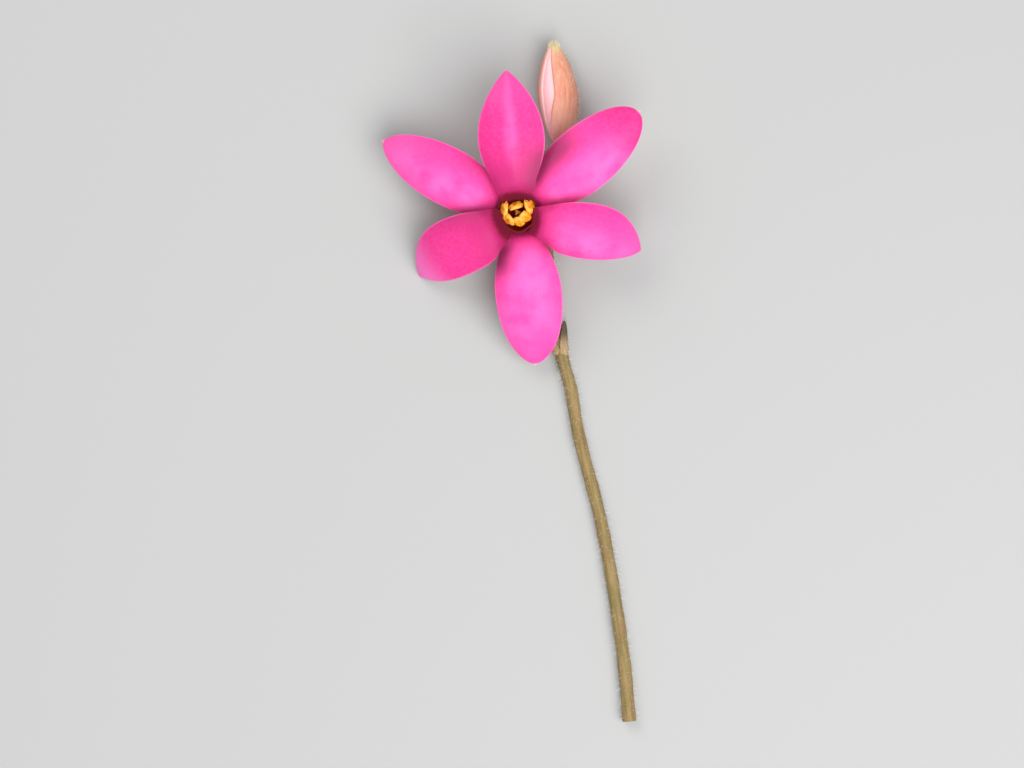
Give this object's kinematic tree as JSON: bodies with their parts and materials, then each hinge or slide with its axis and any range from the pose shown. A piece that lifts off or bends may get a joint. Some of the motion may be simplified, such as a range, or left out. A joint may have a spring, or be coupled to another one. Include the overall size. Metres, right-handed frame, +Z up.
{
  "type": "rhodohypoxis flower",
  "caption": "Picked pink rhodohypoxis bloom, its tepals spread round a dark throat with orange anthers, on a forked olive stem that also carries a closed bud, laid down face up",
  "frame": {"origin": "below the middle of the whole flower, on the surface that it lies on", "axes": "+Z up, the way the bloom faces; the stem lies towards -Y and the bud towards +Y"},
  "size_m": [0.0266, 0.0696, 0.0097],
  "materials": {
    "tepal_pink": "satin",
    "cup_maroon": "satin",
    "anther_orange": "matte",
    "stigma_cream": "satin",
    "stem_olive": "matte",
    "ovary_olive": "matte",
    "bract_brown": "matte",
    "bud_tan": "matte",
    "bud_pale_pink": "satin"
  },
  "bodies": {
    "root": {"scape": "stem_olive", "bract_of_bloom": "bract_brown", "bract_of_bud": "bract_brown", "ovary": "ovary_olive", "perianth_cup": "cup_maroon", "inner_tepal_1": "tepal_pink", "inner_tepal_2": "tepal_pink", "inner_tepal_3": "tepal_pink", "outer_tepal_1": "tepal_pink", "outer_tepal_2": "tepal_pink", "outer_tepal_3": "tepal_pink", "stamen_1": "anther_orange", "stamen_2": "anther_orange", "stamen_3": "anther_orange", "stamen_4": "anther_orange", "stamen_5": "anther_orange", "stamen_6": "anther_orange", "stigma": "stigma_cream", "bud_ovary": "ovary_olive", "bud_outer_tepal_1": "bud_tan", "bud_outer_tepal_2": "bud_tan", "bud_outer_tepal_3": "bud_tan", "bud_inner_tepals": "bud_pale_pink"}
  },
  "joints": []
}
